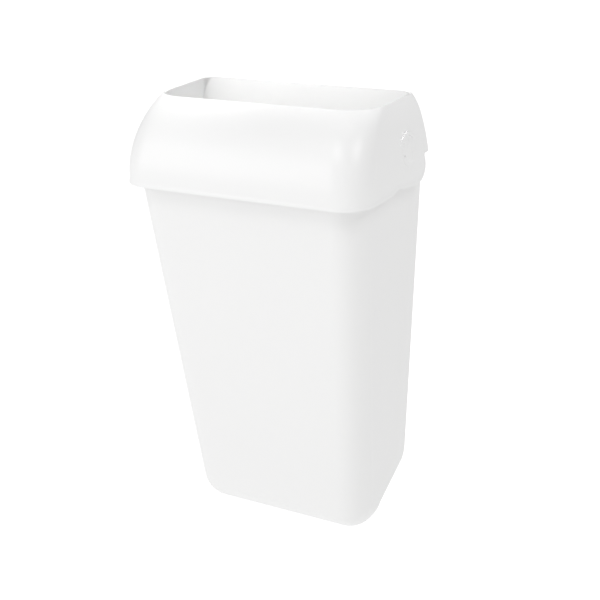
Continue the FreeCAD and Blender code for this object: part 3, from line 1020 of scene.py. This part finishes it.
@dataclass
class BinBody:
    """The bin's body: a tapered shell with a rounded, slanted foot.

    Sizes are in millimetres from the bin's zero.
    """

    datum: Datum
    finishes: Finishes
    half_foot: float = 121.4
    side_slope: float = 0.06876
    front_foot: float = 126.1
    front_slope: float = 0.11135
    level: float = 8.0
    lowest: float = 66.0
    slant_top: float = 75.0
    rim: float = 488.0
    bead: float = 480.0
    bead_end: float = -88.0
    bead_depth: float = 3.0
    wall: float = 2.8
    corner: float = 34.0
    rear_corner: float = 8.0
    bends: tuple[float, float, float] = (40.0, 37.0, 30.0)
    pivot: tuple[float, float] = (-60.0, 503.0)

    def score(
        self, piece: bpy.types.Object, through: Point, across: Point, clear_outer: bool = False
    ) -> None:
        """Draw an edge loop round the body, and open the body there if asked.

        Args:
            piece: The body so far.
            through: A point of the loop's plane, in millimetres.
            across: The plane's normal.
            clear_outer: Whether what lies beyond the plane is taken away.
        """
        pick(piece)
        bpy.ops.object.mode_set(mode="EDIT")
        bpy.ops.mesh.select_all(action="SELECT")
        bpy.ops.mesh.bisect(
            plane_co=self.datum.point(*through), plane_no=across, clear_outer=clear_outer, threshold=1e-6
        )
        bpy.ops.object.mode_set(mode="OBJECT")

    def raise_bead(self, piece: bpy.types.Object) -> None:
        """Thicken the rim's outer band in front and beside the ears.

        Args:
            piece: The body's open skin.
        """
        self.score(piece, (0, 0, self.bead), (0, 0, 1))
        self.score(piece, (0, self.bead_end, 0), (0, 1, 0))
        pick(piece)
        bpy.ops.object.mode_set(mode="EDIT")
        bpy.ops.mesh.select_mode(type="FACE")
        bpy.ops.mesh.select_all(action="DESELECT")
        bpy.ops.object.mode_set(mode="OBJECT")
        low = Vector(self.datum.point(0, self.bead_end, self.bead))
        for polygon in piece.data.polygons:
            outward = Vector((polygon.center.x, polygon.center.y - low.y, 0)).dot(polygon.normal) > 0
            above = polygon.center.z > low.z and abs(polygon.normal.z) < 0.5
            polygon.select = above and outward and polygon.center.y < low.y
        bpy.ops.object.mode_set(mode="EDIT")
        bpy.ops.mesh.extrude_region_shrink_fatten(TRANSFORM_OT_shrink_fatten={"value": self.bead_depth * MM})
        bpy.ops.object.mode_set(mode="OBJECT")

    def profile(self) -> list[ProfilePoint]:
        """Follow the body's side profile from above the front rim, under the foot and up the back.

        Returns:
            Points with their outward directions and the side edge's radius there.
        """
        top = self.rim + 14
        front = self.front_foot + self.front_slope * top
        slant = math.atan2(self.slant_top - self.level, self.lowest)
        lean = math.atan(self.front_slope)
        front_low = self.front_foot + self.front_slope * self.level
        bends = [
            (-front_low, self.level, self.bends[0], lean - math.pi, -math.pi / 2, self.corner),
            (-self.lowest, self.level, self.bends[1], -math.pi / 2, slant - math.pi / 2, self.corner),
            (0.0, self.slant_top, self.bends[2], slant - math.pi / 2, 0.0, self.rear_corner),
        ]
        points = []
        start = Vector((-front, top))
        before = self.corner
        for y, z, radius, first, last, side in bends:
            half = (last - first) / 2
            middle = Vector((math.cos(first + half), math.sin(first + half)))
            centre = Vector((y, z)) - middle * radius / math.cos(half)
            out = Vector((math.cos(first), math.sin(first)))
            end = centre + out * radius
            for step in range(12):
                here = start.lerp(end, step / 12)
                points.append(ProfilePoint(here.x, here.y, out.x, out.y, before + (side - before) * step / 12))
            for step in range(14):
                angle = first + (last - first) * step / 14
                out = Vector((math.cos(angle), math.sin(angle)))
                here = centre + out * radius
                points.append(ProfilePoint(here.x, here.y, out.x, out.y, side))
            out = Vector((math.cos(last), math.sin(last)))
            start = centre + out * radius
            before = side
        for step in range(17):
            here = start.lerp(Vector((0.0, top)), step / 16)
            points.append(ProfilePoint(here.x, here.y, 1.0, 0.0, self.rear_corner))
        return points

    def shell(self) -> bpy.types.Object:
        """Make the skin along the profile, fill its sides, open it at the rim and give it its wall.

        Returns:
            The shell.
        """
        points = self.profile()
        arc, flat = 10, 8
        across = 2 * arc + flat

        def place(column: int, row: int) -> Point:
            """Find one point of the skin."""
            point = points[column]
            near, side = (row, -1) if row <= across / 2 else (across - row, 1)
            turn = min(near / arc, 1.0) * math.pi / 2
            reach = point.radius * (math.sin(turn) - 1)
            y, z = point.y + point.out_y * reach, point.z + point.out_z * reach
            middle = point.z - point.out_z * point.radius
            x = self.half_foot + self.side_slope * middle - point.radius * (1 - math.cos(turn))
            if near > arc:
                x *= 1 - (near - arc) / (flat / 2)
            return self.datum.point(side * x, y, z)

        piece = sheet("bin_shell", len(points) - 1, across, place)
        close_sides(piece)
        self.score(piece, (0, 0, self.rim), (0, 0, 1), clear_outer=True)
        finish_modifier(
            piece, "SOLIDIFY", thickness=self.wall * MM, offset=-1, use_even_offset=True, use_quality_normals=True
        )
        self.raise_bead(piece)
        finish_modifier(
            piece, "BEVEL", width=0.7 * MM, segments=3, limit_method="ANGLE", angle_limit=math.radians(60),
            use_clamp_overlap=True,
        )
        return piece

    def ear(self, side: int) -> bpy.types.Object:
        """Make an ear for the hinge: an upright plate with a round top.

        Args:
            side: -1 for the left, 1 for the right.

        Returns:
            The ear.
        """
        pivot_y, pivot_z = self.pivot
        middle = self.datum.point(side * 153, pivot_y, pivot_z)
        piece = drum("ear", 16 * MM, middle, 4 * MM)
        low = self.datum.point(side * 153 - 2, pivot_y - 16, pivot_z - 33)
        high = self.datum.point(side * 153 + 2, pivot_y + 16, pivot_z)
        boolean(piece, block("ear_foot", low, high), "UNION")
        finish_modifier(
            piece, "BEVEL", width=0.6 * MM, segments=2, limit_method="ANGLE", angle_limit=math.radians(60)
        )
        return piece

    def build(self) -> bpy.types.Object:
        """Make the body with its ears, bush seats and hook slots.

        Returns:
            The finished body.
        """
        piece = self.shell()
        pivot_y, pivot_z = self.pivot
        for side in (-1, 1):
            boolean(piece, self.ear(side), "UNION")
            seat = drum("bush_seat", 6 * MM, self.datum.point(side * 153, pivot_y, pivot_z), 10 * MM)
            boolean(piece, seat, "DIFFERENCE")
            low = self.datum.point(side * 50 - 13, -8, 404.8)
            high = self.datum.point(side * 50 + 13, 6, 420.8)
            boolean(piece, block("slot", low, high), "DIFFERENCE")
            for level in (-24.0, 18.0):
                hole = drum("rivet_hole", 2.05 * MM, self.datum.point(side * 80, 0, 420 + level), 12 * MM, "Y", 32)
                boolean(piece, hole, "DIFFERENCE")
        smooth(piece, 35)
        dress(piece, self.finishes.body)
        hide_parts("bin_body")
        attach(piece, "bin")
        return piece


@dataclass
class Hardware:
    """The carried-over pieces: bracket, hanger, hinge parts, bag frame and rubber."""

    finishes: Finishes

    def dress_all(self) -> list[str]:
        """Give every carried-over node its finish.

        Returns:
            The nodes' names.
        """
        wanted = {
            "wall_bracket": self.finishes.coat,
            "hanger_plate": self.finishes.zinc,
            "hanger_rivets": self.finishes.zinc,
            "hinge_pin_left": self.finishes.stainless,
            "hinge_pin_right": self.finishes.stainless,
            "pin_clip_left": self.finishes.zinc,
            "pin_clip_right": self.finishes.zinc,
            "bag_frame": self.finishes.stainless,
            "bag_frame_clips": self.finishes.saddle,
            "hinge_bush_left": self.finishes.acetal,
            "hinge_bush_right": self.finishes.acetal,
            "wall_pads": self.finishes.rubber,
            "hood_buffers": self.finishes.rubber,
        }
        for name, material in wanted.items():
            dress(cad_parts[name], material)
        return list(wanted)


# ---------------------------------------------------------------- studio


@dataclass(frozen=True)
class Lamp:
    """One soft area light.

    Attributes:
        name: The light's name.
        place: Where it hangs.
        aim: What it points at.
        size: Its width and height.
        power: Its power in watts.
        spread: How wide its beam opens, in degrees.
    """

    name: str
    place: Point
    aim: Point
    size: Plan
    power: float
    spread: float = 180.0


LAMPS = (
    Lamp("key", (-1.6, -2.2, 0.9), (0.0, -0.1, -0.1), (1.6, 1.6), 14),
    Lamp("front", (-0.2, -1.3, 1.6), (0.0, -0.06, 0.14), (0.9, 0.5), 5),
    Lamp("side", (1.7, -0.7, 2.0), (0.0, -0.1, 0.1), (1.0, 1.0), 10),
    Lamp("mouth", (0.0, -0.16, 0.36), (0.0, -0.03, 0.1), (0.3, 0.04), 0.085, 55),
    Lamp("mouth_side", (0.06, -0.09, 0.36), (-0.12, -0.09, 0.12), (0.04, 0.12), 0.03, 50),
)


@dataclass
class Studio:
    """A pale glowing floor, three soft lights, two small lights over the mouth, and the camera."""

    azimuth: float = 30.4
    elevation: float = 19.7
    roll: float = -2.4
    distance: float = 1.5463
    target: Point = (0.0257, -0.101, -0.0677)
    lens: float = 75.5
    shift: Plan = (0.0057, -0.0555)
    sky: float = 0.55
    glow: float = 0.27
    glow_seen: float = 0.4

    def floor(self) -> None:
        """Lay a wide pale floor well below the bin."""
        deselect()
        bpy.ops.mesh.primitive_plane_add(size=80, location=(0, 0, CAD_BOX[0][2] - 0.5))
        ground = bpy.context.object
        ground.name = "floor"
        material = bpy.data.materials.new("pale_floor")
        material.use_nodes = True
        shader = material.node_tree.nodes["Principled BSDF"]
        shader.inputs["Base Color"].default_value = (0.95, 0.95, 0.95, 1)
        shader.inputs["Roughness"].default_value = 0.9
        shader.inputs["Emission Color"].default_value = (1, 1, 1, 1)
        seen = material.node_tree.nodes.new("ShaderNodeLightPath").outputs["Is Camera Ray"]
        glow = material.node_tree.nodes.new("ShaderNodeMath")
        glow.operation = "MULTIPLY_ADD"
        glow.inputs[1].default_value = self.glow_seen
        glow.inputs[2].default_value = self.glow
        material.node_tree.links.new(seen, glow.inputs[0])
        material.node_tree.links.new(glow.outputs[0], shader.inputs["Emission Strength"])
        dress(ground, material)

    def light(self, lamp: Lamp) -> None:
        """Hang one light, hidden from the camera.

        Args:
            lamp: The light.
        """
        data = bpy.data.lights.new(lamp.name, "AREA")
        data.shape = "RECTANGLE"
        data.size, data.size_y = lamp.size
        data.energy = lamp.power
        data.spread = math.radians(lamp.spread)
        holder = bpy.data.objects.new(lamp.name, data)
        bpy.context.scene.collection.objects.link(holder)
        holder.location = lamp.place
        holder.rotation_euler = (Vector(lamp.aim) - Vector(lamp.place)).to_track_quat("-Z", "Y").to_euler()
        holder.visible_camera = False

    def camera(self) -> None:
        """Set the camera at its viewing angle."""
        around, above, roll = (math.radians(angle) for angle in (self.azimuth, self.elevation, self.roll))
        back = Vector(
            (math.sin(around) * math.cos(above), -math.cos(around) * math.cos(above), math.sin(above))
        )
        level = (-back).cross(Vector((0, 0, 1))).normalized()
        upright = level.cross(-back)
        right = level * math.cos(roll) + upright * math.sin(roll)
        up = upright * math.cos(roll) - level * math.sin(roll)
        lens = bpy.data.cameras.new("camera")
        lens.sensor_width = 36
        lens.lens = self.lens
        lens.shift_x, lens.shift_y = self.shift
        lens.clip_end = 200
        holder = bpy.data.objects.new("camera", lens)
        bpy.context.scene.collection.objects.link(holder)
        turned = Matrix((right, up, back)).transposed().to_4x4()
        turned.translation = Vector(self.target) + back * self.distance
        holder.matrix_world = turned
        bpy.context.scene.camera = holder

    def build(self) -> None:
        """Set up the whole studio."""
        scene = bpy.context.scene
        scene.view_settings.view_transform = "Standard"
        world = bpy.data.worlds.new("soft_room")
        scene.world = world
        world.use_nodes = True
        sky = world.node_tree.nodes["Background"]
        sky.inputs["Color"].default_value = (1, 1, 1, 1)
        sky.inputs["Strength"].default_value = self.sky
        scene.cycles.max_bounces = 16
        scene.cycles.diffuse_bounces = 12
        self.floor()
        for lamp in LAMPS:
            self.light(lamp)
        self.camera()


def main() -> None:
    """Build the bin piece by piece, then the studio."""
    logging.basicConfig(level=logging.INFO, format="%(name)s: %(message)s")
    finishes = Finishes()
    datum = Datum()
    hood = Hood(datum, finishes)
    for piece in (hood.build(), hood.cap(-1), hood.cap(1), BinBody(datum, finishes).build()):
        log.info("%s: %d faces", piece.name, len(piece.data.polygons))
    for name in Hardware(finishes).dress_all():
        log.info("%s: dressed", name)
    Studio().build()


if __name__ == "__main__":
    main()
